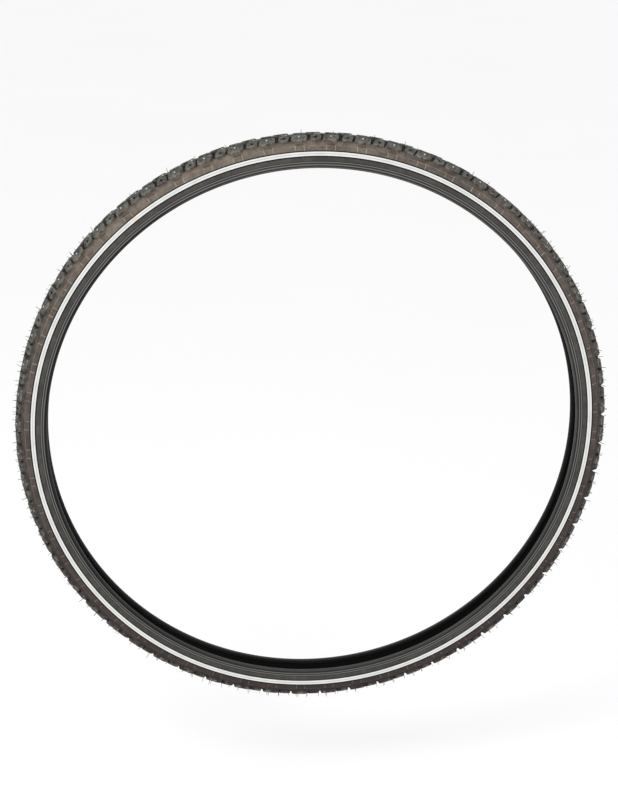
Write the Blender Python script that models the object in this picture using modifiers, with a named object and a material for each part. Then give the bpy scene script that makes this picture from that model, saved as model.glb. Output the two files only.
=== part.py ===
"""A studded bicycle tyre for a 622 mm rim, off its wheel.

The wheel's axis is world Y and the origin is the wheel's centre. The near side faces -Y.
Each layer of the tyre is a ring of its own, turned from an outline in (y, r): the distance from
the middle plane and the distance from the wheel's axis. Lengths are in metres.
"""

import math

import bmesh
import bpy
from mathutils import Matrix, Vector

MM = 0.001
NAME = "bicycle_tyre"

# Round the wheel
PITCHES = 60
STEPS = PITCHES
PITCH_ANGLE = 2 * math.pi / PITCHES
GAP = 0.3 * MM

# Across the tyre, each layer is half an ellipse (half width, height) over straight legs
CENTRE_R = 327.0 * MM
FACET = math.radians(30)
QUARTER = math.radians(90)
CASING_INSIDE = (13.6 * MM, 12.1 * MM)
CASING_OUTSIDE = (14.9 * MM, 13.4 * MM)
TREAD_BASE = (17.9 * MM, 17.6 * MM)
CROWN_TOP = 21.0 * MM
SHOULDER_TOP = 21.8 * MM
BELT = 0.6 * MM

# Places across the tyre, as angles from the crown
TREAD_FACETS = (math.radians(13.7), math.radians(50))
BELT_EDGE = math.radians(16)
STUD_LEAN = math.radians(28)
HOOP_EDGES = (math.radians(18), math.radians(30))
RECESS_EDGE = math.radians(53)
TREAD_EDGE = math.radians(65)
SIDEWALL_TOP = math.radians(66.5)

# Sidewalls, with a shallow channel for the reflective stripe
SIDEWALL_Y = 16.7 * MM
SIDEWALL_TIP = (16.5 * MM, 334.0 * MM)
SIDEWALL_FOOT_R = 319.0 * MM
STRIPE_R = (325.4 * MM, 330.1 * MM)
STRIPE_DEPTH = 0.7 * MM
STRIPE_PROUD = 0.1 * MM

# The bead: a steel hoop held in the casing's turn-up, under a chafer strip
BEAD_BOTTOM_R = 311.0 * MM
BEAD_FACE_Y = 17.1 * MM
BEAD_FACE_TOP_R = SIDEWALL_FOOT_R - GAP
TOE_Y = 11.7 * MM
TOE_TOP_R = 316.0 * MM
CHAFER = 0.7 * MM
PLY = 0.5 * MM
CORE_R = 1.0 * MM
CORE_SIDES = 4
LEG_END_R = 320.0 * MM

# Studs: posts flush with their blocks, on a thin hoop under the tread that makes a row one piece
STUD_R = 2.1 * MM
STUD_SIDES = 4
STUD_FOOT = 14.0 * MM
HOOP_HEIGHT = 0.6 * MM
HOLE_DEPTH = 8.0 * MM

# Tread blocks: place along the pitch, lean, length round the wheel, width across, height of the top
BLOCK_FOOT = 15.3 * MM
BLOCK_TAPER = 0.84
STUDDED_BLOCK = (0.0, math.radians(30.5), 16.0 * MM, 9.0 * MM, SHOULDER_TOP)
SMALL_BLOCK = (0.5, math.radians(31), 12.0 * MM, 8.6 * MM, SHOULDER_TOP)
CROWN_BLOCK = (0.0, 0.0, 12.0 * MM, 7.2 * MM, CROWN_TOP)

# Where along a pitch the rows start, and how far the whole pattern is turned from straight up
NEAR_START = 0.75
FAR_START = 0.25
CROWN_STARTS = (0.37, 0.83)
PATTERN_TURN = -0.25 * PITCH_ANGLE


def clear_scene():
    for old in list(bpy.data.objects):
        bpy.data.objects.remove(old, do_unlink=True)


def new_collection(name):
    collection = bpy.data.collections.new(name)
    bpy.context.scene.collection.children.link(collection)
    return collection


def material(name, colour, roughness, metallic=0.0):
    made = bpy.data.materials.new(name)
    made.use_nodes = True
    shader = made.node_tree.nodes["Principled BSDF"]
    shader.inputs["Base Color"].default_value = (*colour, 1.0)
    shader.inputs["Roughness"].default_value = roughness
    shader.inputs["Metallic"].default_value = metallic
    return made


def tread_rubber():
    return material("tread_rubber", (0.070, 0.068, 0.062), 0.78)


def sidewall_rubber():
    return material("sidewall_rubber", (0.110, 0.095, 0.082), 0.72)


def casing_fabric():
    return material("casing_fabric", (0.022, 0.021, 0.020), 0.85)


def belt_rubber():
    return material("belt_rubber", (0.160, 0.100, 0.050), 0.70)


def stripe_film():
    return material("stripe_film", (0.720, 0.720, 0.690), 0.35)


def bead_steel():
    return material("bead_steel", (0.550, 0.500, 0.400), 0.35, 1.0)


def chafer_rubber():
    return material("chafer_rubber", (0.068, 0.064, 0.060), 0.60)


def stud_steel():
    return material("stud_steel", (0.620, 0.620, 0.600), 0.32, 1.0)


def ellipse_point(layer, angle, offset):
    half_width, height = layer
    y = (half_width + offset) * math.sin(angle)
    return (y, CENTRE_R + (height + offset) * math.cos(angle))


def layer_point(layer, angle, offset=0.0):
    """A point on a layer's facets, whose corners are the same angles apart in every layer."""
    facet = min(int(angle / FACET + 1e-6), int(QUARTER / FACET + 1e-6) - 1)
    share = angle / FACET - facet
    low = ellipse_point(layer, facet * FACET, offset)
    high = ellipse_point(layer, (facet + 1) * FACET, offset)
    return tuple(a + (b - a) * share for a, b in zip(low, high))


def layer_points(layer, start, end, offset=0.0):
    """The layer's corners from one angle to another, with both ends."""
    corners = [facet * FACET for facet in range(1, 4)]
    between = [angle for angle in corners if start + 1e-6 < angle < end - 1e-6]
    return [layer_point(layer, angle, offset) for angle in (start, *between, end)]


def over_crown(half):
    """From the far side over the crown to the near side. The half starts at the crown."""
    return half[::-1] + [(-y, r) for y, r in half if y > 0]


def on_side(outline, side):
    """A far side's outline, or its mirror image for the near side."""
    return [(side * y, r) for y, r in outline]


def run_clockwise(outline):
    """The outline with its outer side running from +y to -y, so that its ring faces out."""
    following = outline[1:] + outline[:1]
    area = sum(y * next_r - next_y * r for (y, r), (next_y, next_r) in zip(outline, following))
    return outline if area > 0 else outline[::-1]


def turned(name, outline, finish, collection, axle):
    """A ring turned from a closed (y, r) outline."""
    mesh = bpy.data.meshes.new(name)
    bm = bmesh.new()
    corners = [bm.verts.new((r, 0.0, y)) for y, r in run_clockwise(outline)]
    for first, second in zip(corners, corners[1:] + corners[:1]):
        bm.edges.new((first, second))
    bm.to_mesh(mesh)
    bm.free()
    mesh.materials.append(finish)
    ring = bpy.data.objects.new(name, mesh)
    collection.objects.link(ring)
    ring.parent = axle
    screw = ring.modifiers.new("turn", "SCREW")
    screw.axis = "Z"
    screw.angle = 2 * math.pi
    screw.steps = STEPS
    screw.render_steps = STEPS
    screw.use_merge_vertices = True
    screw.merge_threshold = 0.01 * MM
    screw.use_smooth_shade = True
    return ring


def add_boolean(target, other, operation):
    joined = target.modifiers.new(operation.lower(), "BOOLEAN")
    joined.operation = operation
    joined.solver = "EXACT"
    joined.object = other


def place_frame(place, lean):
    """Axes at one place on the tyre: X runs round the wheel, Y across it and Z outwards."""
    turn = place * PITCH_ANGLE
    radial = Vector((math.cos(turn), math.sin(turn), 0.0))
    forward = Vector((-math.sin(turn), math.cos(turn), 0.0))
    outward = radial * math.cos(lean) + Vector((0.0, 0.0, math.sin(lean)))
    across = outward.cross(forward)
    frame = Matrix((forward, across, outward)).transposed().to_4x4()
    frame.translation = radial * CENTRE_R
    return frame


def tool_object(name, shapes, collection, axle):
    """One hidden object with every (frame, shape) in it, for a Boolean to join or cut."""
    whole = bmesh.new()
    for frame, shape in shapes:
        made = shape(whole)
        bmesh.ops.transform(whole, matrix=frame, verts=made)
    mesh = bpy.data.meshes.new(name)
    whole.to_mesh(mesh)
    whole.free()
    tool = bpy.data.objects.new(name, mesh)
    collection.objects.link(tool)
    tool.parent = axle
    tool.hide_render = True
    tool.display_type = "WIRE"
    return tool


def block_shape(length, width, top):
    """A lug with sloping sides, its foot sunk in the tread's base."""
    height = top - BLOCK_FOOT

    def shape(bm):
        size = Matrix.Diagonal((length, width, height, 1.0))
        made = bmesh.ops.create_cube(bm, size=1.0, matrix=size)["verts"]
        for corner in made:
            if corner.co.z > 0:
                corner.co.x *= BLOCK_TAPER
                corner.co.y *= BLOCK_TAPER
        bmesh.ops.translate(bm, vec=(0.0, 0.0, BLOCK_FOOT + height / 2), verts=made)
        return made

    return shape


def post_shape(radius, low, high):
    """A straight post from one height to another."""
    middle = Matrix.Translation((0.0, 0.0, (low + high) / 2))

    def shape(bm):
        return bmesh.ops.create_cone(
            bm, cap_ends=True, cap_tris=False, segments=STUD_SIDES,
            radius1=radius, radius2=radius, depth=high - low, matrix=middle)["verts"]

    return shape


def row_places(start):
    return [pitch + start for pitch in range(PITCHES)]


def row_start(side):
    return NEAR_START if side < 0 else FAR_START


def row_of(block, start, side):
    """One block for each pitch, as (frame, shape) pairs."""
    place, lean, length, width, top = block
    lug = block_shape(length, width, top)
    return [(place_frame(pitch + place, side * lean), lug) for pitch in row_places(start)]


def block_shapes():
    shapes = []
    for side in (-1, 1):
        for block in (STUDDED_BLOCK, SMALL_BLOCK):
            shapes += row_of(block, row_start(side), side)
    for start in CROWN_STARTS:
        shapes += row_of(CROWN_BLOCK, start, 1)
    return shapes


def stud_frames(side):
    return [place_frame(pitch, side * STUD_LEAN) for pitch in row_places(row_start(side))]


def tread_outline():
    """Wide facets outside, and inside a recess over the belt and the studs' hoops."""
    outside = [ellipse_point(TREAD_BASE, angle, 0.0) for angle in (*TREAD_FACETS, TREAD_EDGE)]
    recess = layer_points(CASING_OUTSIDE, 0.0, RECESS_EDGE, 2 * GAP + BELT)
    wing = layer_points(CASING_OUTSIDE, RECESS_EDGE, TREAD_EDGE, GAP)
    return over_crown(outside) + over_crown(recess + wing)[::-1]


def hoop_outline():
    """The thin hoop that joins one row of studs, in the tread's recess."""
    low = layer_points(CASING_OUTSIDE, *HOOP_EDGES, GAP)
    high = layer_points(CASING_OUTSIDE, *HOOP_EDGES, GAP + HOOP_HEIGHT)
    return high + low[::-1]


def belt_outline():
    outside = layer_points(CASING_OUTSIDE, 0.0, BELT_EDGE, GAP + BELT)
    inside = layer_points(CASING_OUTSIDE, 0.0, BELT_EDGE, GAP)
    return over_crown(outside) + over_crown(inside)[::-1]


def casing_leg_y(r):
    """The casing's outer face on its straight leg, between its widest place and the toe."""
    toe_y = TOE_Y + GAP + 2 * PLY
    share = (CENTRE_R - r) / (CENTRE_R - TOE_TOP_R)
    return CASING_OUTSIDE[0] + (toe_y - CASING_OUTSIDE[0]) * share


def casing_outline():
    """Bead to bead inside the tyre, then round each core and up outside it."""
    ply_inner_y = TOE_Y + PLY + GAP
    ply_outer_y = ply_inner_y + PLY
    flap_inner_y = ply_outer_y + 2 * (CORE_R + GAP)
    flap_outer_y = flap_inner_y + PLY
    floor_r = BEAD_BOTTOM_R + CHAFER + GAP
    inside = layer_points(CASING_INSIDE, 0.0, QUARTER)
    inside += [(ply_inner_y, TOE_TOP_R), (ply_inner_y, floor_r)]
    outside = layer_points(CASING_OUTSIDE, 0.0, QUARTER)
    outside += [
        (ply_outer_y, TOE_TOP_R),
        (ply_outer_y, floor_r + PLY),
        (flap_inner_y, floor_r + PLY),
        (flap_inner_y, BEAD_FACE_TOP_R),
        (flap_outer_y, BEAD_FACE_TOP_R),
        (flap_outer_y, floor_r),
    ]
    return over_crown(outside) + over_crown(inside)[::-1]


def sidewall_outline():
    """The far sidewall, from its foot over the bead to its tip under the tread's edge."""
    low_r, high_r = STRIPE_R[0] - GAP, STRIPE_R[1] + GAP
    channel_y = SIDEWALL_Y - STRIPE_DEPTH
    inside = layer_points(CASING_OUTSIDE, SIDEWALL_TOP, QUARTER, GAP)
    foot = [
        (casing_leg_y(LEG_END_R) + GAP, LEG_END_R),
        (SIDEWALL_Y, SIDEWALL_FOOT_R),
    ]
    outside = [
        (SIDEWALL_Y, low_r),
        (channel_y, low_r),
        (channel_y, high_r),
        (SIDEWALL_Y, high_r),
        SIDEWALL_TIP,
    ]
    return inside + foot + outside


def stripe_outline():
    low_r, high_r = STRIPE_R
    back_y = SIDEWALL_Y - STRIPE_DEPTH + GAP
    face_y = SIDEWALL_Y + STRIPE_PROUD
    return [(face_y, high_r), (face_y, low_r), (back_y, low_r), (back_y, high_r)]


def core_outline():
    middle_y = TOE_Y + 2 * (PLY + GAP) + CORE_R
    middle_r = BEAD_BOTTOM_R + CHAFER + PLY + 2 * GAP + CORE_R
    turns = [2 * math.pi * (side + 0.5) / CORE_SIDES for side in range(CORE_SIDES)]
    return [(middle_y + CORE_R * math.cos(t), middle_r + CORE_R * math.sin(t)) for t in turns]


def chafer_outline():
    """A strip folded round the bead, from inside the toe to the face that meets the rim."""
    return [
        (BEAD_FACE_Y, BEAD_FACE_TOP_R),
        (BEAD_FACE_Y, BEAD_BOTTOM_R),
        (TOE_Y, BEAD_BOTTOM_R),
        (TOE_Y, TOE_TOP_R),
        (TOE_Y + PLY, TOE_TOP_R),
        (TOE_Y + PLY, BEAD_BOTTOM_R + CHAFER),
        (BEAD_FACE_Y - CHAFER, BEAD_BOTTOM_R + CHAFER),
        (BEAD_FACE_Y - CHAFER, BEAD_FACE_TOP_R),
    ]


def main():
    clear_scene()
    parts = new_collection(NAME)
    tools = new_collection(NAME + "_cutters")
    axle = bpy.data.objects.new("axle", None)
    axle.rotation_euler = (-QUARTER, PATTERN_TURN, 0.0)
    parts.objects.link(axle)

    turned("casing", casing_outline(), casing_fabric(), parts, axle)
    turned("puncture_belt", belt_outline(), belt_rubber(), parts, axle)
    tread = turned("tread", tread_outline(), tread_rubber(), parts, axle)
    blocks = tool_object("tread_blocks", block_shapes(), tools, axle)
    add_boolean(tread, blocks, "UNION")

    rubber, film = sidewall_rubber(), stripe_film()
    steel, strip, studs = bead_steel(), chafer_rubber(), stud_steel()
    hole = post_shape(STUD_R + GAP, STUD_FOOT, STUD_FOOT + HOLE_DEPTH)
    post = post_shape(STUD_R, STUD_FOOT, SHOULDER_TOP)
    for end, side in (("near", -1), ("far", 1)):
        turned("sidewall_" + end, on_side(sidewall_outline(), side), rubber, parts, axle)
        turned("reflective_stripe_" + end, on_side(stripe_outline(), side), film, parts, axle)
        turned("bead_core_" + end, on_side(core_outline(), side), steel, parts, axle)
        turned("bead_chafer_" + end, on_side(chafer_outline(), side), strip, parts, axle)
        frames = stud_frames(side)
        holes = tool_object("stud_holes_" + end, [(frame, hole) for frame in frames], tools, axle)
        add_boolean(tread, holes, "DIFFERENCE")
        row = turned("stud_row_" + end, on_side(hoop_outline(), side), studs, parts, axle)
        posts = tool_object("stud_posts_" + end, [(frame, post) for frame in frames], tools, axle)
        add_boolean(row, posts, "UNION")


main()
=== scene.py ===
"""The looks of a studded bicycle tyre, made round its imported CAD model.

The frame's Y is the wheel's axis, its origin is the wheel's centre, and the near side faces -Y.
A place on the tyre is given as a turn round the wheel, an angle across the tyre from the crown and
a height over the tread's base. Outlines of rings are in (y, r), as the CAD's are, for the far side,
and the near side mirrors them.
"""

import math
import random

import bmesh
import bpy
import numpy as np
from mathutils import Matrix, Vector


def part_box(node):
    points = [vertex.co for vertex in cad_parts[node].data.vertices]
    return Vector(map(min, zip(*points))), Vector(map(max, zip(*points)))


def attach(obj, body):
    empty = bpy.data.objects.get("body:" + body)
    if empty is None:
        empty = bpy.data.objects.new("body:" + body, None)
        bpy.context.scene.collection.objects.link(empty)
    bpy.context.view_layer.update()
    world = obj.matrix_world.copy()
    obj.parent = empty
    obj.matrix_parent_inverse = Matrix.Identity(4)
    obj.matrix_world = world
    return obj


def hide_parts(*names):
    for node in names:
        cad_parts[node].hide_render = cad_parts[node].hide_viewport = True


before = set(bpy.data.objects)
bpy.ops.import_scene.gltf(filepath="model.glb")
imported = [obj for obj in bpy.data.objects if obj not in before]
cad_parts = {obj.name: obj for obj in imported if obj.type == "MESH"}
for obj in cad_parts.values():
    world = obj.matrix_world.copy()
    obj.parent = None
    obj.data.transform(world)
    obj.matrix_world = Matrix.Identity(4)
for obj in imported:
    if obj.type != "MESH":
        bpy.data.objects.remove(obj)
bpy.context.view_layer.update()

MM = 0.001
PITCHES = 60
PITCH = 2 * math.pi / PITCHES
RING_STEPS = 360

# The tyre's section, from the CAD's own rings
CROWN_R = max(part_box("tread")[1].x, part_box("tread")[1].z)
FACE_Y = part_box("bead_chafer_far")[1].y
TREAD_HEIGHT = 21.0 * MM
CENTRE_R = CROWN_R - TREAD_HEIGHT
BASE = (17.9 * MM, 17.6 * MM)
BACK = (15.9 * MM, 14.9 * MM)
CASING_OUT = (14.9 * MM, 13.4 * MM)
CASING_IN = (13.6 * MM, 12.1 * MM)
TREAD_EDGE = math.radians(65)
CROWN_TOP = 20.9 * MM
SHOULDER_TOP = 21.7 * MM
BLOCK_FOOT = 15.7 * MM

# The pattern's rows, as places along a pitch
PATTERN_TURN = math.radians(90) - 0.25 * PITCH
NEAR_START = 0.75
FAR_START = 0.25
CROWN_STARTS = (0.42, 0.91)
SHOULDER_LEAN = math.radians(30.5)
SHOULDER_STUD = (0.0, -1.2)
CROWN_STUD = (-1.6, 2.5)
VENT_AHEAD = 0.145

NEAR_BLACK = (0.004, 0.0038, 0.0038)


# ---------------------------------------------------------------- materials

def new_material(name, roughness, metallic=0.0, specular=0.5):
    made = bpy.data.materials.new(name)
    made.use_nodes = True
    shader = made.node_tree.nodes["Principled BSDF"]
    shader.inputs["Roughness"].default_value = roughness
    shader.inputs["Metallic"].default_value = metallic
    shader.inputs["Specular IOR Level"].default_value = specular
    return made, made.node_tree, shader


def node(tree, kind, **settings):
    made = tree.nodes.new("ShaderNode" + kind)
    for name, value in settings.items():
        setattr(made, name, value)
    return made


def maths(tree, operation, first, second=0.0, clamp=False):
    made = node(tree, "Math", operation=operation, use_clamp=clamp)
    for socket, value in zip(made.inputs, (first, second)):
        if isinstance(value, (int, float)):
            socket.default_value = value
        else:
            tree.links.new(value, socket)
    return made.outputs[0]


def spread(tree, value, low, high, to_low=0.0, to_high=1.0):
    """Value from low to high, mapped smoothly from to_low to to_high."""
    made = node(tree, "MapRange", interpolation_type="SMOOTHSTEP")
    tree.links.new(value, made.inputs["Value"])
    ends = {"From Min": low, "From Max": high, "To Min": to_low, "To Max": to_high}
    for name, number in ends.items():
        made.inputs[name].default_value = number
    return made.outputs["Result"]


def noise(tree, vector, scale, detail=4.0, roughness=0.6):
    made = node(tree, "TexNoise")
    tree.links.new(vector, made.inputs["Vector"])
    made.inputs["Scale"].default_value = scale
    made.inputs["Detail"].default_value = detail
    made.inputs["Roughness"].default_value = roughness
    return made.outputs["Fac"]


def mix(tree, share, first, second):
    """One colour over another. Each is a colour or a socket, and so is the share a number or one."""
    made = node(tree, "Mix", data_type="RGBA")
    for socket, value in ((made.inputs[0], share), (made.inputs[6], first), (made.inputs[7], second)):
        if isinstance(value, (int, float)):
            socket.default_value = value
        elif isinstance(value, tuple):
            socket.default_value = (*value, 1.0)
        else:
            tree.links.new(value, socket)
    return made.outputs[2]


def scaled(tree, colour, factor):
    """A colour or vector times a number from a socket."""
    made = node(tree, "VectorMath", operation="SCALE")
    tree.links.new(colour, made.inputs[0])
    tree.links.new(factor, made.inputs["Scale"])
    return made.outputs[0]


def along(tree, vector, way):
    """The part of a vector along a fixed way."""
    made = node(tree, "VectorMath", operation="DOT_PRODUCT")
    tree.links.new(vector, made.inputs[0])
    made.inputs[1].default_value = way
    return made.outputs["Value"]


def bump(tree, shader, height, distance):
    made = node(tree, "Bump")
    made.inputs["Distance"].default_value = distance
    tree.links.new(height, made.inputs["Height"])
    tree.links.new(made.outputs["Normal"], shader.inputs["Normal"])


def tyre_places(tree):
    """A point, its distance from the axis and from the section's centre, and its coordinates."""
    point = node(tree, "TexCoord").outputs["Object"]
    flat = node(tree, "VectorMath", operation="MULTIPLY")
    tree.links.new(point, flat.inputs[0])
    flat.inputs[1].default_value = (1.0, 0.0, 1.0)
    length = node(tree, "VectorMath", operation="LENGTH")
    tree.links.new(flat.outputs["Vector"], length.inputs[0])
    radius = length.outputs["Value"]
    parts = node(tree, "SeparateXYZ")
    tree.links.new(point, parts.inputs[0])
    across = maths(tree, "POWER", parts.outputs["Y"], 2.0)
    rise = maths(tree, "POWER", maths(tree, "SUBTRACT", radius, CENTRE_R), 2.0)
    depth = maths(tree, "SQRT", maths(tree, "ADD", across, rise))
    return point, radius, depth, parts


def streaks(tree, point, radius, across, scale):
    """Noise drawn out round the wheel, for rubber that flowed and was rubbed that way."""
    made = node(tree, "CombineXYZ")
    tree.links.new(radius, made.inputs["X"])
    tree.links.new(across, made.inputs["Y"])
    slow = node(tree, "VectorMath", operation="SCALE")
    tree.links.new(point, slow.inputs[0])
    slow.inputs["Scale"].default_value = 0.03
    total = node(tree, "VectorMath", operation="ADD")
    tree.links.new(made.outputs[0], total.inputs[0])
    tree.links.new(slow.outputs[0], total.inputs[1])
    return noise(tree, total.outputs[0], scale, 3.0)


def upness(tree, point):
    """Nought at the bottom of the wheel and one at its top."""
    return spread(tree, along(tree, point, UP_WAY), -0.33, 0.33)


def facing_out(tree, point, radius):
    """How squarely the surface faces away from the section's centre."""
    flat = node(tree, "VectorMath", operation="MULTIPLY")
    tree.links.new(point, flat.inputs[0])
    flat.inputs[1].default_value = (CENTRE_R, 0.0, CENTRE_R)
    centre = scaled(tree, flat.outputs["Vector"], maths(tree, "DIVIDE", 1.0, radius))
    away = node(tree, "VectorMath", operation="SUBTRACT")
    tree.links.new(point, away.inputs[0])
    tree.links.new(centre, away.inputs[1])
    unit = node(tree, "VectorMath", operation="NORMALIZE")
    tree.links.new(away.outputs["Vector"], unit.inputs[0])
    made = node(tree, "VectorMath", operation="DOT_PRODUCT")
    tree.links.new(unit.outputs["Vector"], made.inputs[0])
    tree.links.new(node(tree, "TexCoord").outputs["Normal"], made.inputs[1])
    return made.outputs["Value"]


def ring_line(tree, radius, middle, half_width):
    """One on a ring of this radius, easing to nought half_width away."""
    away = maths(tree, "ABSOLUTE", maths(tree, "SUBTRACT", radius, middle))
    return spread(tree, away, half_width, half_width * 0.4)


def outer_rubber(name):
    """Worn grey-green block tops, painted shade between them near the crown, and brown dust on the
    shoulders and flanks.
    """
    made, tree, shader = new_material(name, 0.75, specular=0.25)
    point, radius, depth, parts = tyre_places(tree)
    up = upness(tree, point)
    coarse = noise(tree, point, 30.0)
    blotch = noise(tree, point, 150.0)
    fine = noise(tree, point, 420.0)
    grain = noise(tree, point, 1100.0, 3.0)
    facing = facing_out(tree, point, radius)

    dust = mix(tree, up, (0.036, 0.027, 0.026), (0.090, 0.074, 0.064))
    # Lighter brown towards the upper left of the wheel.
    upper_left = spread(tree, along(tree, point, UPPER_LEFT_WAY), 0.22, 0.34)
    dust = mix(tree, upper_left, dust, (0.138, 0.112, 0.090))
    dust = scaled(tree, dust, spread(tree, coarse, 0.3, 0.7, 0.86, 1.14))
    flank = scaled(tree, dust, spread(tree, blotch, 0.35, 0.65, 0.76, 1.24))

    across = maths(tree, "DIVIDE", maths(tree, "ABSOLUTE", parts.outputs["Y"]), depth)
    ragged = maths(tree, "ADD", across, maths(tree, "MULTIPLY", blotch, 0.14))
    # Painted shade: the floor between the blocks near the crown is near black, as if in shadow.
    gap_shade = mix(tree, fine, (0.004, 0.004, 0.0035), (0.020, 0.018, 0.015))
    between = mix(tree, spread(tree, ragged, 0.54, 0.72), gap_shade, flank)

    worn = mix(tree, spread(tree, blotch, 0.3, 0.7), (0.030, 0.031, 0.028), (0.086, 0.087, 0.079))
    worn = mix(tree, spread(tree, fine, 0.46, 0.62, 0.0, 0.85), worn, (0.010, 0.010, 0.009))
    worn = mix(tree, spread(tree, grain, 0.54, 0.68, 0.0, 0.65), worn, (0.21, 0.205, 0.185))
    worn = scaled(tree, worn, spread(tree, up, 0.0, 1.0, 0.72, 1.40))
    wall = scaled(tree, worn, spread(tree, blotch, 0.35, 0.65, 0.30, 1.15))
    # The painted shade of the gaps gives way to the block wall colour higher up.
    height = maths(tree, "ADD", depth, maths(tree, "MULTIPLY", blotch, 3.0 * MM))
    between = mix(tree, spread(tree, height, 19.6 * MM, 21.0 * MM, 0.0, 0.65), between, wall)
    worn = mix(tree, spread(tree, ragged, 0.60, 0.76, 0.0, 0.75), worn, flank)
    raised = spread(tree, depth, 20.2 * MM, 20.7 * MM)
    level = spread(tree, facing, 0.55, 0.82)
    colour = mix(tree, maths(tree, "MULTIPLY", raised, level), between, worn)
    beyond = spread(tree, across, 0.70, 0.74)
    colour = mix(tree, beyond, colour, flank)
    steep = maths(tree, "SUBTRACT", 1.0, level)
    rim = maths(tree, "MULTIPLY", steep, spread(tree, depth, 20.5 * MM, 20.9 * MM))
    rim = maths(tree, "MULTIPLY", rim, spread(tree, blotch, 0.46, 0.60, 0.05, 0.85))
    colour = mix(tree, rim, colour, (0.200, 0.190, 0.165))

    middle = (STRIPE_LOW + STRIPE_HIGH) / 2
    away = maths(tree, "ABSOLUTE", maths(tree, "SUBTRACT", radius, middle))
    below = spread(tree, radius, STRIPE_LOW - 2.0 * GROOVE, STRIPE_LOW - 0.8 * GROOVE)
    low = mix(tree, spread(tree, blotch, 0.3, 0.7), (0.039, 0.038, 0.035), (0.071, 0.068, 0.062))
    low = scaled(tree, low, spread(tree, coarse, 0.3, 0.7, 0.85, 1.25))
    rib = maths(tree, "SINE", maths(tree, "MULTIPLY", radius, 2 * math.pi / RIB_PITCH))
    ribbed = mix(tree, spread(tree, rib, 0.2, 0.9, 0.0, 0.4), low, (0.012, 0.012, 0.011))
    colour = mix(tree, below, ribbed, colour)
    reach = STRIPE_HIGH - middle + GROOVE
    channel = spread(tree, away, reach + 0.9 * MM, reach + 0.2 * MM)
    colour = mix(tree, channel, colour, (0.006, 0.005, 0.005))
    tree.links.new(colour, shader.inputs["Base Color"])
    tree.links.new(spread(tree, blotch, 0.3, 0.7, 0.62, 0.88), shader.inputs["Roughness"])
    bump(tree, shader, maths(tree, "ADD", grain, fine), 0.2 * MM)
    return made


def line_rubber(name, low, high):
    """Thin mouldings on the flank: one colour at the wheel's bottom, another at its top."""
    made, tree, shader = new_material(name, 0.7, specular=0.3)
    point = node(tree, "TexCoord").outputs["Object"]
    worn = spread(tree, noise(tree, point, 160.0), 0.3, 0.7, 0.65, 1.25)
    colour = scaled(tree, mix(tree, upness(tree, point), low, high), worn)
    tree.links.new(colour, shader.inputs["Base Color"])
    bump(tree, shader, noise(tree, point, 1500.0), 0.05 * MM)
    return made


def lower_rubber(name):
    """Smooth grey-black rubber at the bead, streaked round the wheel, black inside."""
    made, tree, shader = new_material(name, 0.6, specular=0.4)
    point, radius, depth, parts = tyre_places(tree)
    streak = streaks(tree, point, radius, parts.outputs["Y"], 900.0)
    blotch = noise(tree, point, 90.0)
    body = mix(tree, spread(tree, streak, 0.35, 0.65), (0.024, 0.023, 0.022), (0.050, 0.048, 0.046))
    dusty = maths(tree, "MULTIPLY", spread(tree, blotch, 0.45, 0.75), 0.35)
    colour = mix(tree, dusty, body, (0.075, 0.068, 0.060))
    colour = scaled(tree, colour, spread(tree, upness(tree, point), 0.0, 1.0, 0.62, 1.5))
    # Painted highlights: light lines along the bead's two raised faces.
    for below, half_width in ((0.6 * MM, 0.7 * MM), (3.4 * MM, 0.6 * MM)):
        bright = maths(tree, "MULTIPLY", ring_line(tree, radius, BEAD_HIGH - below, half_width), 0.8)
        colour = mix(tree, bright, colour, (0.150, 0.147, 0.140))
    # Painted shade: dark lines in the bead's two grooves.
    for below, half_width in ((1.9 * MM, 0.7 * MM), (5.0 * MM, 0.6 * MM)):
        dark = ring_line(tree, radius, BEAD_HIGH - below, half_width)
        colour = mix(tree, dark, colour, (0.010, 0.010, 0.010))
    # Painted shade: the bead's lowest lip is near black on the left of the wheel only.
    lip = spread(tree, radius, BEAD_LOW + 4.2 * MM, BEAD_LOW + 3.4 * MM)
    left = spread(tree, along(tree, point, (-1.0, 0.0, 0.0)), 0.05, 0.22)
    colour = mix(tree, maths(tree, "MULTIPLY", lip, left), colour, NEAR_BLACK)
    sideways = maths(tree, "ABSOLUTE", parts.outputs["Y"])
    outside = spread(tree, sideways, TOE_Y + 1.0 * MM, TOE_Y + 3.0 * MM)
    colour = mix(tree, outside, NEAR_BLACK, colour)
    tree.links.new(colour, shader.inputs["Base Color"])
    tree.links.new(spread(tree, streak, 0.3, 0.7, 0.5, 0.72), shader.inputs["Roughness"])
    bump(tree, shader, streak, 0.08 * MM)
    return made


def inner_fabric():
    """Rubber-coated cords inside the casing, crossing at 45 degrees, with white chalk marks."""
    made, tree, shader = new_material("inner_fabric", 0.85, specular=0.1)
    point, radius, depth, parts = tyre_places(tree)
    cords = node(tree, "TexWave", wave_type="BANDS", bands_direction="DIAGONAL")
    tree.links.new(point, cords.inputs["Vector"])
    cords.inputs["Scale"].default_value = 260.0
    cords.inputs["Distortion"].default_value = 1.5
    chalk = spread(tree, noise(tree, point, 45.0), 0.62, 0.8)
    body = mix(tree, cords.outputs["Fac"], (0.004, 0.0038, 0.0036), (0.012, 0.0112, 0.0105))
    colour = mix(tree, maths(tree, "MULTIPLY", chalk, 0.25), body, (0.060, 0.056, 0.053))
    tree.links.new(colour, shader.inputs["Base Color"])
    bump(tree, shader, cords.outputs["Fac"], 0.12 * MM)
    return made


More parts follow.
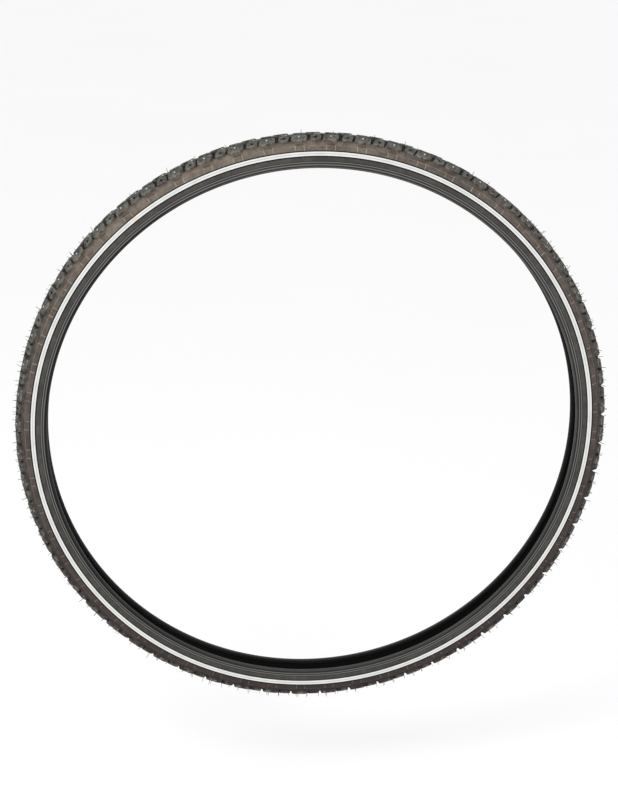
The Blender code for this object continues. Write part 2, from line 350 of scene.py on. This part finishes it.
def stripe_film():
    """Pale film with a fine square weave, a little greyer here and there."""
    made, tree, shader = new_material("stripe_film", 0.38, specular=0.5)
    point, radius, depth, parts = tyre_places(tree)
    blotch = noise(tree, point, 70.0)
    beads = noise(tree, point, 1600.0, 2.0)
    pale = mix(tree, spread(tree, blotch, 0.35, 0.75), (0.70, 0.70, 0.69), (0.61, 0.61, 0.59))
    specks = spread(tree, beads, 0.6, 0.8, 0.0, 0.4)
    colour = mix(tree, specks, pale, (0.36, 0.35, 0.33))
    seam = ring_line(tree, radius, (STRIPE_LOW + STRIPE_HIGH) / 2, 0.75 * MM)
    colour = mix(tree, maths(tree, "MULTIPLY", seam, 0.8), colour, (0.40, 0.41, 0.39))
    beside = maths(tree, "ABSOLUTE", along(tree, point, (math.cos(SPLICE), 0.0, -math.sin(SPLICE))))
    splice = spread(tree, beside, 3.6 * MM, 3.0 * MM)
    here = spread(tree, along(tree, point, (math.sin(SPLICE), 0.0, math.cos(SPLICE))), 0.1, 0.2)
    near = spread(tree, parts.outputs["Y"], 1.0 * MM, -1.0 * MM)
    splice = maths(tree, "MULTIPLY", splice, maths(tree, "MULTIPLY", here, near))
    colour = mix(tree, maths(tree, "MULTIPLY", splice, 0.8), colour, (0.66, 0.58, 0.42))
    tree.links.new(colour, shader.inputs["Base Color"])
    bump(tree, shader, beads, 0.03 * MM)
    return made


def steel(name, dark, light, roughness):
    made, tree, shader = new_material(name, roughness, metallic=1.0)
    point = node(tree, "TexCoord").outputs["Object"]
    scratch = noise(tree, point, 1800.0, 3.0)
    tree.links.new(mix(tree, scratch, dark, light), shader.inputs["Base Color"])
    rubbed = spread(tree, scratch, 0.3, 0.7, roughness * 0.8, roughness * 1.3)
    tree.links.new(rubbed, shader.inputs["Roughness"])
    bump(tree, shader, scratch, 0.03 * MM)
    return made


def hidden_rubber():
    """The soft brown belt under the tread."""
    made, tree, shader = new_material("belt_rubber", 0.7)
    point = node(tree, "TexCoord").outputs["Object"]
    mottle = noise(tree, point, 200.0)
    colour = mix(tree, mottle, (0.12, 0.07, 0.035), (0.20, 0.13, 0.07))
    tree.links.new(colour, shader.inputs["Base Color"])
    bump(tree, shader, mottle, 0.05 * MM)
    return made


def floor_paint():
    """Pale paint that gives off some light, so that the floor is evenly bright."""
    made, tree, shader = new_material("floor_paint", 0.9, specular=0.05)
    point = node(tree, "TexCoord").outputs["Object"]
    mottle = noise(tree, point, 1.2, 2.0)
    colour = mix(tree, mottle, (0.45, 0.45, 0.45), (0.47, 0.47, 0.47))
    tree.links.new(colour, shader.inputs["Base Color"])
    shader.inputs["Emission Color"].default_value = (1.0, 1.0, 1.0, 1.0)
    shader.inputs["Emission Strength"].default_value = 0.47
    return made


# ---------------------------------------------------------------- meshes

def add_piece(name, co, faces, finish, slot, replaces=(), sharp=35.0):
    """A mesh that rides on the tyre's one body."""
    mesh = bpy.data.meshes.new(name)
    mesh.from_pydata(co.tolist(), [], faces)
    mesh.materials.append(finish)
    piece = bpy.data.objects.new(name, mesh)
    bpy.context.scene.collection.objects.link(piece)
    face_out(mesh)
    mesh.shade_smooth()
    mesh.set_sharp_from_angle(angle=math.radians(sharp))
    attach(piece, "root")
    if replaces:
        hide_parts(*replaces)
    return piece


def face_out(mesh):
    bm = bmesh.new()
    bm.from_mesh(mesh)
    bmesh.ops.recalc_face_normals(bm, faces=bm.faces)
    bm.to_mesh(mesh)
    bm.free()


def rounded(corners, steps=4):
    """Corners (a, b, radius) of a closed outline, each eased over about that radius."""
    outline = []
    count = len(corners)
    for i, (a, b, ease) in enumerate(corners):
        here = Vector((a, b))
        if ease <= 0:
            outline.append(here)
            continue
        before = Vector(corners[i - 1][:2]) - here
        after = Vector(corners[(i + 1) % count][:2]) - here
        start = here + before.normalized() * min(ease, before.length * 0.49)
        end = here + after.normalized() * min(ease, after.length * 0.49)
        for step in range(steps + 1):
            t = step / steps
            outline.append(start * (1 - t) ** 2 + here * 2 * t * (1 - t) + end * t ** 2)
    return [tuple(point) for point in outline]


def turned(name, outline, side, finish, slot, replaces=(), sharp=35.0):
    """A ring turned from a closed outline."""
    y, r = np.array(outline).T
    turn = np.arange(RING_STEPS) * 2 * math.pi / RING_STEPS
    co = np.stack([
        np.outer(np.sin(turn), r),
        np.outer(np.ones(RING_STEPS), side * y),
        np.outer(np.cos(turn), r),
    ], axis=-1).reshape(-1, 3)
    count = len(y)
    faces = []
    for step in range(RING_STEPS):
        here, there = step * count, (step + 1) % RING_STEPS * count
        for i in range(count):
            j = (i + 1) % count
            faces.append((here + i, here + j, there + j, there + i))
    return add_piece(name, co, faces, finish, slot, replaces, sharp)


def on_tyre(turn, angle, height):
    """World points at turns round the wheel, angles across the tyre and heights over the base."""
    y = (BASE[0] + height) * np.sin(angle)
    r = CENTRE_R + (BASE[1] + height) * np.cos(angle)
    return np.stack([r * np.sin(turn), y, r * np.cos(turn)], axis=-1)


def turn_at(place):
    return place * PITCH + PATTERN_TURN


def place_flat(points, place, lean, side):
    """Flat (u, w, h) points put on the tyre.

    U runs round the wheel, W down the flank, and H out from the section's centre.
    """
    turn = turn_at(place)
    radial = np.array([math.sin(turn), 0.0, math.cos(turn)])
    forward = np.array([math.cos(turn), 0.0, -math.sin(turn)]) * -side
    sideways = np.array([0.0, side, 0.0])
    outward = radial * math.cos(lean) + sideways * math.sin(lean)
    across = sideways * math.cos(lean) - radial * math.sin(lean)
    return radial * CENTRE_R + points @ np.array([forward, across, outward])


def copies(points, faces, spots):
    """The same flat shape at each (place, lean, side)."""
    co = np.concatenate([place_flat(points, *spot) for spot in spots])
    count = len(points)
    every = [tuple(i + n * count for i in face) for n in range(len(spots)) for face in faces]
    return co, every


def stacked(rings, heights):
    """A closed shape from rings of as many points each, with a flat face at both ends."""
    count = len(rings[0])
    points = np.concatenate([
        np.column_stack([ring, np.full(count, height)]) for ring, height in zip(rings, heights)])
    faces = [tuple(range(count))[::-1], tuple(range(len(points) - count, len(points)))]
    for level in range(len(rings) - 1):
        for i in range(count):
            j = (i + 1) % count
            low, high = level * count, (level + 1) * count
            faces.append((low + i, low + j, high + j, high + i))
    return points, faces


# ---------------------------------------------------------------- tread

def finer(outline, longest):
    """The outline with points added, so that no side is longer."""
    points = []
    for here, there in zip(outline, outline[1:] + outline[:1]):
        here, there = np.array(here), np.array(there)
        pieces = max(1, math.ceil(np.linalg.norm(there - here) / longest))
        points += [here + (there - here) * k / pieces for k in range(pieces)]
    return np.array(points)


def grown(ring, extra):
    """The ring moved out from its middle by about extra."""
    middle = ring.mean(0)
    away = ring - middle
    return middle + away * (1 + extra / np.linalg.norm(away, axis=1).mean())


def shortened(ring, share):
    """The ring drawn in at its two ends round the wheel."""
    return ring * np.array([share, 1.0])


def circle_like(ring, centre, radius):
    away = ring - centre
    return centre + away / np.linalg.norm(away, axis=1)[:, None] * radius


def lug(corners, top, pit_centre, pit):
    """A block with sloping sides, an eased edge and a round pit in its top.

    Pit is (lip radius, lip height, pit radius, pit depth) in mm.
    """
    corners = [(u * MM, w * MM, 0.8 * MM) for u, w in corners]
    edge = finer(rounded(corners, 1), 3.6 * MM)
    centre = np.array(pit_centre) * MM
    lip_r, lip_height, pit_r, pit_depth = (size * MM for size in pit)
    around = circle_like(edge, centre, lip_r + 0.2 * MM)
    shoulder = shortened(grown(edge, -0.5 * MM), 0.89)
    rings = [
        (grown(edge, 1.3 * MM), BLOCK_FOOT),
        (grown(edge, 0.7 * MM), 17.9 * MM),
        (edge, top - 1.9 * MM),
        (shortened(edge, 0.96), top - 0.7 * MM),
        (shortened(grown(edge, -0.2 * MM), 0.92), top - 0.2 * MM),
        (shoulder, top),
        ((shoulder + around) / 2, top),
        (around, top),
        (circle_like(edge, centre, lip_r), top + lip_height),
        (circle_like(edge, centre, pit_r + 0.15 * MM), top + lip_height),
        (circle_like(edge, centre, pit_r), top - pit_depth),
        (circle_like(edge, centre, pit_r * 0.5), top - pit_depth),
    ]
    return stacked([ring for ring, _ in rings], [height for _, height in rings])


STUD_PIT = (2.5, 0.0, 2.25, 1.1)
DIMPLE = (2.2, 0.0, 1.6, 1.8)


def studded_block():
    corners = [(-7.6, -5.1), (9.8, -4.6), (9.4, 0.6), (6.2, 4.7), (-6.0, 4.7), (-9.6, 2.4)]
    return lug(corners, SHOULDER_TOP, SHOULDER_STUD, STUD_PIT)


def small_block():
    corners = [(-4.8, -5.0), (6.6, -5.1), (7.2, -1.6), (4.4, 3.8), (-3.0, 4.4), (-6.8, 2.4)]
    return lug(corners, SHOULDER_TOP - 0.4 * MM, (0.2, -0.8), DIMPLE)


def crown_block():
    corners = [(-8.2, -0.6), (3.6, -1.0), (7.0, 0.6), (7.8, 4.4), (4.2, 5.9), (-6.4, 5.8)]
    return lug(corners, CROWN_TOP, CROWN_STUD, STUD_PIT)


def row(start, lean, side):
    return [(pitch + start, lean, side) for pitch in range(PITCHES)]


def row_start(side):
    return NEAR_START if side < 0 else FAR_START


def tread_base():
    """The rubber under the blocks: out over the crown, and back against the casing."""
    angles = np.radians(np.linspace(65, -65, 53))
    outside = [(BASE[0] * math.sin(a), CENTRE_R + BASE[1] * math.cos(a)) for a in angles]
    inside = [(BACK[0] * math.sin(a), CENTRE_R + BACK[1] * math.cos(a)) for a in angles[::-4]]
    return outside + inside


def crown_start(side):
    return CROWN_STARTS[0] if side < 0 else CROWN_STARTS[1]


def tread(finish):
    """The base with its blocks joined on, one set at a time, so that no set overlaps itself."""
    base = turned("tread_rubber", tread_base(), 1, finish, "tread", ["tread"])
    studded = [spot for side in (-1, 1) for spot in row(row_start(side), SHOULDER_LEAN, side)]
    small = [spot for side in (-1, 1) for spot in row(row_start(side) + 0.52, SHOULDER_LEAN, side)]
    sets = [(studded_block(), studded), (small_block(), small)]
    sets += [(crown_block(), row(crown_start(side), 0.0, side)) for side in (-1, 1)]
    for (points, faces), spots in sets:
        join(base, add_piece("tread_blocks", *copies(points, faces, spots), finish, "tread"))
    base.data.shade_smooth()
    base.data.set_sharp_from_angle(angle=math.radians(32))
    return base


def join(base, other):
    """Base and other as one closed body. Other is used up."""
    union = base.modifiers.new("union", "BOOLEAN")
    union.operation = "UNION"
    union.solver = "MANIFOLD"
    union.object = other
    bpy.context.view_layer.update()
    graph = bpy.context.evaluated_depsgraph_get()
    whole = bpy.data.meshes.new_from_object(base.evaluated_get(graph))
    base.modifiers.clear()
    base.data = whole
    bpy.data.objects.remove(other, do_unlink=True)


# ---------------------------------------------------------------- studs

def round_stack(sizes, sides, centre, top):
    """A round shape from (radius, height over the top) pairs in mm."""
    turn = np.arange(sides) * 2 * math.pi / sides
    middle = np.array(centre) * MM
    circle = np.column_stack([np.cos(turn), np.sin(turn)])
    rings = [circle * radius * MM + middle for radius, _ in sizes]
    return stacked(rings, [top + height * MM for _, height in sizes])


STUD_BODY = ((2.0, -1.6), (2.2, -1.5), (2.2, -0.15), (2.05, 0.0), (1.3, 0.0), (1.15, -0.3))
STUD_PIN = ((0.95, -0.6), (1.0, -0.5), (1.0, 0.2), (0.8, 0.45), (0.4, 0.5))


def studs(side, end, body_finish, pin_finish):
    """Stud bodies sunk in their pits, and the hard pins in them."""
    rows = (
        (SHOULDER_STUD, SHOULDER_TOP, row(row_start(side), SHOULDER_LEAN, side)),
        (CROWN_STUD, CROWN_TOP, row(crown_start(side), 0.0, side)),
    )
    for name, sizes, sides, finish in (
            ("stud_bodies_", STUD_BODY, 14, body_finish), ("stud_pins_", STUD_PIN, 12, pin_finish)):
        co, faces = [], []
        for centre, top, spots in rows:
            part, part_faces = copies(*round_stack(sizes, sides, centre, top), spots)
            shift = sum(len(points) for points in co)
            co.append(part)
            faces += [tuple(i + shift for i in face) for face in part_faces]
        replaced = ["stud_row_" + end] if sizes is STUD_BODY else []
        add_piece(name + end, np.concatenate(co), faces, finish, "stud", replaced)


# ---------------------------------------------------------------- sides

def ring_radii(name):
    """A CAD ring's inner and outer radius."""
    reach = [math.hypot(v.co.x, v.co.z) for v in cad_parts[name].data.vertices]
    return min(reach), max(reach)


STRIPE_LOW, STRIPE_HIGH = ring_radii("reflective_stripe_far")
STRIPE_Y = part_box("reflective_stripe_far")[1].y
BEAD_LOW, BEAD_HIGH = ring_radii("bead_chafer_far")
TOE_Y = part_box("bead_chafer_far")[0].y
FLANK_Y = STRIPE_Y - 0.1 * MM
GROOVE = 0.8 * MM
RIB_PITCH = 1.9 * MM
EDGE_R = CENTRE_R + BASE[1] * math.cos(TREAD_EDGE)
EDGE_Y = BASE[0] * math.sin(TREAD_EDGE)
FLANK_LINE = math.radians(57)
SUNK = 0.25 * MM
UP_WAY = (-0.15, 0.0, 0.98)
UPPER_LEFT_WAY = (-0.38, 0.0, 0.92)
SPLICE = math.radians(321.8)


def lower_ribs():
    """Low rounded ribs between the bead and the stripe, from the stripe down."""
    high, low = STRIPE_LOW - GROOVE - 0.3 * MM, BEAD_HIGH + 0.5 * MM
    ribs, steps, half_depth = 3, 8, 0.14 * MM
    points = []
    for i in range(ribs * steps + 1):
        wave = math.cos(2 * math.pi * i / steps) - 1
        r = high + (low - high) * i / (ribs * steps)
        points.append((FLANK_Y + half_depth * wave, r, 0.0))
    return points


def sidewall(side, end, finish):
    """Tread edge down to the bead, with a channel for the stripe and low ribs under it."""
    channel = FLANK_Y - 0.9 * MM
    corners = [
        (EDGE_Y - 1.4 * MM, EDGE_R + 0.25 * MM, 0.0),
        (EDGE_Y + 0.03 * MM, EDGE_R - 0.05 * MM, 0.15 * MM),
        (EDGE_Y + 0.28 * MM, EDGE_R - 1.3 * MM, 0.6 * MM),
        (FLANK_Y + 0.05 * MM, STRIPE_HIGH + GROOVE + 0.9 * MM, 0.5 * MM),
        (FLANK_Y, STRIPE_HIGH + GROOVE, 0.3 * MM),
        (channel, STRIPE_HIGH + GROOVE - 0.15 * MM, 0.2 * MM),
        (channel, STRIPE_LOW - GROOVE + 0.15 * MM, 0.2 * MM),
        (FLANK_Y, STRIPE_LOW - GROOVE, 0.2 * MM),
        *lower_ribs(),
        (FLANK_Y - 1.2 * MM, BEAD_HIGH + 0.3 * MM, 0.2 * MM),
        (FLANK_Y - 1.6 * MM, STRIPE_LOW, 1.0 * MM),
    ]
    name = "sidewall_skin_" + end
    return turned(name, rounded(corners), side, finish, "sidewall", ["sidewall_" + end], 50.0)


def stripe(side, end, finish):
    """The film: two raised bands with a shallow line between them."""
    middle = (STRIPE_LOW + STRIPE_HIGH) / 2
    top = STRIPE_Y + 0.1 * MM
    corners = [
        (FLANK_Y - 0.8 * MM, STRIPE_HIGH, 0.0),
        (top - 0.1 * MM, STRIPE_HIGH, 0.25 * MM),
        (top, STRIPE_HIGH - 0.9 * MM, 0.3 * MM),
        (top, middle + 0.55 * MM, 0.15 * MM),
        (top - 0.22 * MM, middle + 0.35 * MM, 0.1 * MM),
        (top - 0.22 * MM, middle - 0.35 * MM, 0.1 * MM),
        (top, middle - 0.55 * MM, 0.15 * MM),
        (top, STRIPE_LOW + 0.9 * MM, 0.3 * MM),
        (top - 0.1 * MM, STRIPE_LOW, 0.25 * MM),
        (FLANK_Y - 0.8 * MM, STRIPE_LOW, 0.0),
    ]
    name = "stripe_film_" + end
    return turned(name, rounded(corners, 3), side, finish, "stripe", ["reflective_stripe_" + end], 60.0)


def bead(side, end, finish):
    """The chafer: a ridge that marks the rim line, a groove, and the lip that sits in the rim."""
    corners = [
        (FLANK_Y - 0.6 * MM, BEAD_HIGH, 0.0),
        (FLANK_Y - 0.1 * MM, BEAD_HIGH, 0.15 * MM),
        (FLANK_Y - 0.1 * MM, BEAD_HIGH - 1.0 * MM, 0.2 * MM),
        (FLANK_Y - 0.45 * MM, BEAD_HIGH - 1.5 * MM, 0.2 * MM),
        (FLANK_Y - 0.45 * MM, BEAD_HIGH - 2.2 * MM, 0.2 * MM),
        (FACE_Y, BEAD_HIGH - 2.8 * MM, 0.3 * MM),
        (FACE_Y, BEAD_HIGH - 4.0 * MM, 0.3 * MM),
        (FACE_Y - 1.3 * MM, BEAD_HIGH - 4.6 * MM, 0.3 * MM),
        (FACE_Y - 1.3 * MM, BEAD_HIGH - 5.3 * MM, 0.3 * MM),
        (FACE_Y - 0.3 * MM, BEAD_HIGH - 5.9 * MM, 0.4 * MM),
        (FACE_Y - 0.4 * MM, BEAD_LOW + 0.6 * MM, 0.8 * MM),
        (FACE_Y - 2.2 * MM, BEAD_LOW + 0.05 * MM, 1.0 * MM),
        (TOE_Y + 0.4 * MM, BEAD_LOW + 0.1 * MM, 0.8 * MM),
        (TOE_Y, BEAD_LOW + 1.6 * MM, 0.6 * MM),
        (TOE_Y + 0.1 * MM, BEAD_LOW + 5.0 * MM, 0.3 * MM),
        (TOE_Y + 0.7 * MM, BEAD_LOW + 5.0 * MM, 0.3 * MM),
    ]
    name = "bead_strip_" + end
    return turned(name, rounded(corners), side, finish, "chafer", ["bead_chafer_" + end], 50.0)


def casing(finish):
    """The inside of the tyre, from bead to bead."""
    inner = []
    for a in np.radians(np.linspace(0, 90, 19)):
        inner.append((CASING_IN[0] * math.sin(a), CENTRE_R + CASING_IN[1] * math.cos(a)))
    inner += [(12.9 * MM, BEAD_LOW + 6.5 * MM), (12.5 * MM, BEAD_LOW + 4.0 * MM)]
    outer = []
    for a in np.radians(np.linspace(0, 90, 13)):
        outer.append((CASING_OUT[0] * math.sin(a), CENTRE_R + CASING_OUT[1] * math.cos(a)))
    outer += [(14.6 * MM, BEAD_LOW + 6.5 * MM), (13.6 * MM, BEAD_LOW + 4.0 * MM)]
    half = outer[1:] + inner[::-1]
    other = [(-y, r) for y, r in inner[1:]] + [(-y, r) for y, r in outer[:0:-1]]
    return turned("casing_inside", half + other + [outer[0]], 1, finish, "casing", ["casing"], 60.0)


def flank_height(r):
    """How far the flank stands from the middle plane, between the stripe and the blocks."""
    if r > EDGE_R:
        return BASE[0] * math.sqrt(1 - ((r - CENTRE_R) / BASE[1]) ** 2)
    share = (r - STRIPE_HIGH) / (EDGE_R - STRIPE_HIGH)
    return FLANK_Y + (EDGE_Y - FLANK_Y) * max(0.0, share) ** 1.5


def flank_rib(turn, radii, half_width, proud):
    """A thin raised line up the flank at one turn, as (y, r, turn) rows for a strip."""
    rows = []
    for k, r in enumerate(radii):
        rise = proud if 0 < k < len(radii) - 1 else 0.0
        y = flank_height(r)
        spin = half_width / r
        rows.append([
            (y - SUNK, r, turn - spin), (y + rise * 0.6, r, turn - spin * 0.6),
            (y + rise, r, turn), (y + rise * 0.6, r, turn + spin * 0.6), (y - SUNK, r, turn + spin)])
    return rows


def cross_rib(turn, r, half_length, half_width, proud):
    """A short raised line round the wheel."""
    rows = []
    steps = 6
    for k in range(steps + 1):
        spin = turn + half_length * (2 * k / steps - 1) / r
        rise = proud if 0 < k < steps else 0.0
        line = []
        low = rise * 0.6
        for x, lift in ((-1.0, -SUNK), (-0.6, low), (0.0, rise), (0.6, low), (1.0, -SUNK)):
            out = r + x * half_width
            line.append((flank_height(out) + lift, out, spin))
        rows.append(line)
    return rows


def strip_mesh(strips, side):
    """Closed thin bodies, each from its rows of (y, r, turn) points."""
    co, faces = [], []
    for rows in strips:
        start, count = len(co), len(rows[0])
        for line in rows:
            co += [(r * math.sin(turn), side * y, r * math.cos(turn)) for y, r, turn in line]
        for k in range(len(rows) - 1):
            low, high = start + k * count, start + (k + 1) * count
            for i in range(count):
                j = (i + 1) % count
                faces.append((low + i, low + j, high + j, high + i))
        faces.append(tuple(range(start, start + count)))
        faces.append(tuple(range(len(co) - count, len(co)))[::-1])
    return np.array(co), faces


def flank_line(side, end, finish):
    """The thin raised line round the tyre where the smooth flank ends."""
    r = CENTRE_R + BASE[1] * math.cos(FLANK_LINE)
    corners = [(flank_height(r + x) + lift, r + x, 0.0) for x, lift in (
        (0.6 * MM, -SUNK), (0.3 * MM, 0.25 * MM), (-0.3 * MM, 0.25 * MM), (-0.6 * MM, -SUNK))]
    return turned("flank_line_" + end, rounded(corners), side, finish, "sidewall", (), 50.0)


def mouldings(side, end, line_finish, frame_shade_finish):
    """On each pitch, two lines up the flank under the studded block, and a small frame over them, whose
    dark brown is painted shade of the block's concave wall.
    """
    lines, shade_frames = [], []
    high = CENTRE_R + BASE[1] * math.cos(FLANK_LINE)
    frame_r = (high + 1.2 * MM, high + 3.0 * MM)
    for pitch in range(PITCHES):
        place = pitch + row_start(side)
        for ahead, low in ((-VENT_AHEAD, STRIPE_HIGH + 1.8 * MM), (VENT_AHEAD, STRIPE_HIGH + 1.0 * MM)):
            radii = np.linspace(low, high + 0.8 * MM, 9)
            lines.append(flank_rib(turn_at(place - side * ahead), radii, 0.55 * MM, 0.32 * MM))
        for r, half_length in zip(frame_r, (4.4 * MM, 3.2 * MM)):
            shade_frames.append(cross_rib(turn_at(place), r, half_length, 0.9 * MM, 0.3 * MM))
        for ahead in (-0.10, 0.10):
            radii = np.linspace(high + 0.2 * MM, high + 2.6 * MM, 5)
            shade_frames.append(flank_rib(turn_at(place + ahead), radii, 0.45 * MM, 0.3 * MM))
    add_piece("flank_mouldings_" + end, *strip_mesh(lines, side), line_finish, "sidewall")
    add_piece("flank_shade_frames_" + end, *strip_mesh(shade_frames, side), frame_shade_finish, "sidewall")


# ---------------------------------------------------------------- spew hairs

# Places ahead of the studded block, and degrees across the tyre
HAIR_SPOTS = ((0.09, 17.0), (0.37, 17.0), (-0.28, 15.0), (0.10, 29.0), (-0.24, 30.0))


def hair(rng, place, angle, length):
    """One thin hair, as rings of points from its root in the rubber to its tip."""
    turn = turn_at(place)
    root = on_tyre(turn, angle, 2.0 * MM)
    tip = on_tyre(turn, angle, 3.6 * MM + length)
    lean = Vector([rng.uniform(-1, 1) for _ in range(3)]) * length * 0.35
    out = (Vector(tip) - Vector(root)).normalized()
    side = out.orthogonal().normalized()
    other = out.cross(side)
    rings = []
    for step in range(5):
        t = step / 4
        middle = Vector(root).lerp(Vector(tip), t) + lean * t ** 2
        radius = (0.40 - 0.16 * t) * MM
        ring = []
        for k in range(5):
            a = 2 * math.pi * k / 5
            ring.append(middle + (side * math.cos(a) + other * math.sin(a)) * radius)
        rings.append(ring)
    return rings


def spew_hairs(finish):
    """Hairs left by the mould's vents, mostly gone from the top of the wheel."""
    rng = random.Random(7)
    co, faces = [], []
    for side in (-1, 1):
        for pitch in range(PITCHES):
            for ahead, angle in HAIR_SPOTS:
                place = pitch + row_start(side) - side * (ahead + rng.uniform(-0.04, 0.04))
                length = rng.uniform(3.2, 4.8) * MM
                upright = math.cos(turn_at(place))
                kept = rng.random() < (0.10 if upright > 0.70 else 0.85)
                rings = hair(rng, place, side * math.radians(angle), length)
                if not kept:
                    continue
                start = len(co)
                co += [tuple(p) for ring in rings for p in ring]
                for k in range(4):
                    for i in range(5):
                        low, high = start + 5 * k, start + 5 * (k + 1)
                        faces.append((low + i, low + (i + 1) % 5, high + (i + 1) % 5, high + i))
                faces.append(tuple(range(start, start + 5))[::-1])
                faces.append(tuple(range(start + 20, start + 25)))
    return add_piece("spew_hairs", np.array(co), faces, finish, "tread")


# ---------------------------------------------------------------- stage

def add_floor():
    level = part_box("tread")[0].z - 0.12
    bpy.ops.mesh.primitive_plane_add(size=160.0, location=(0.0, 0.0, level))
    floor = bpy.context.object
    floor.name = "floor"
    floor.data.materials.append(floor_paint())


def add_area(name, location, target, size, power):
    data = bpy.data.lights.new(name, "AREA")
    data.shape = "DISK"
    data.size = size
    data.energy = power
    lamp = bpy.data.objects.new(name, data)
    bpy.context.scene.collection.objects.link(lamp)
    lamp.location = location
    lamp.rotation_euler = (Vector(target) - Vector(location)).to_track_quat("-Z", "Y").to_euler()


def add_lights():
    world = bpy.data.worlds.new("studio")
    world.use_nodes = True
    world.node_tree.nodes["Background"].inputs["Color"].default_value = (1.0, 1.0, 1.0, 1.0)
    world.node_tree.nodes["Background"].inputs["Strength"].default_value = 1.0
    bpy.context.scene.world = world
    add_area("key", (-1.6, -1.7, 2.2), (0.0, 0.0, 0.0), 1.4, 36.0)
    add_area("fill", (1.8, -2.2, 0.9), (0.0, 0.0, 0.0), 1.8, 10.0)


def add_camera():
    data = bpy.data.cameras.new("camera")
    data.sensor_width = 36.0
    data.lens = 81.9
    camera = bpy.data.objects.new("camera", data)
    bpy.context.scene.collection.objects.link(camera)
    camera.location = (-0.2011, -2.0186, 0.7096)
    camera.rotation_euler = (math.radians(71.547), 0.0, math.radians(-5.531))
    bpy.context.scene.camera = camera


def finish_hidden_nodes():
    """Pieces inside the tyre stay as the CAD made them, with better materials."""
    finishes = {
        "puncture_belt": hidden_rubber(),
        "bead_core_near": steel("bead_wire", (0.42, 0.34, 0.22), (0.62, 0.52, 0.36), 0.38),
    }
    finishes["bead_core_far"] = finishes["bead_core_near"]
    for name, made in finishes.items():
        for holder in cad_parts[name].material_slots:
            holder.material = made


def main():
    bpy.context.scene.view_settings.view_transform = "Standard"
    add_camera()
    add_lights()
    add_floor()
    rubber = outer_rubber("outer_rubber")
    low_rubber = lower_rubber("bead_rubber")
    film = stripe_film()
    lines = line_rubber("line_rubber", (0.120, 0.100, 0.090), (0.300, 0.260, 0.215))
    # The frames' dark brown is painted shade under the studded blocks.
    shade_frames = line_rubber("frame_shade_rubber", (0.030, 0.020, 0.015), (0.085, 0.056, 0.036))
    edges = line_rubber("edge_rubber", (0.060, 0.048, 0.044), (0.165, 0.138, 0.115))
    body_steel = steel("stud_steel", (0.10, 0.097, 0.093), (0.22, 0.215, 0.205), 0.5)
    pin_steel = steel("pin_carbide", (0.46, 0.455, 0.44), (0.70, 0.69, 0.67), 0.4)
    tread(rubber)
    for side, end in ((-1, "near"), (1, "far")):
        sidewall(side, end, rubber)
        stripe(side, end, film)
        bead(side, end, low_rubber)
        flank_line(side, end, edges)
        mouldings(side, end, lines, shade_frames)
        studs(side, end, body_steel, pin_steel)
    casing(inner_fabric())
    spew_hairs(rubber)
    finish_hidden_nodes()


main()
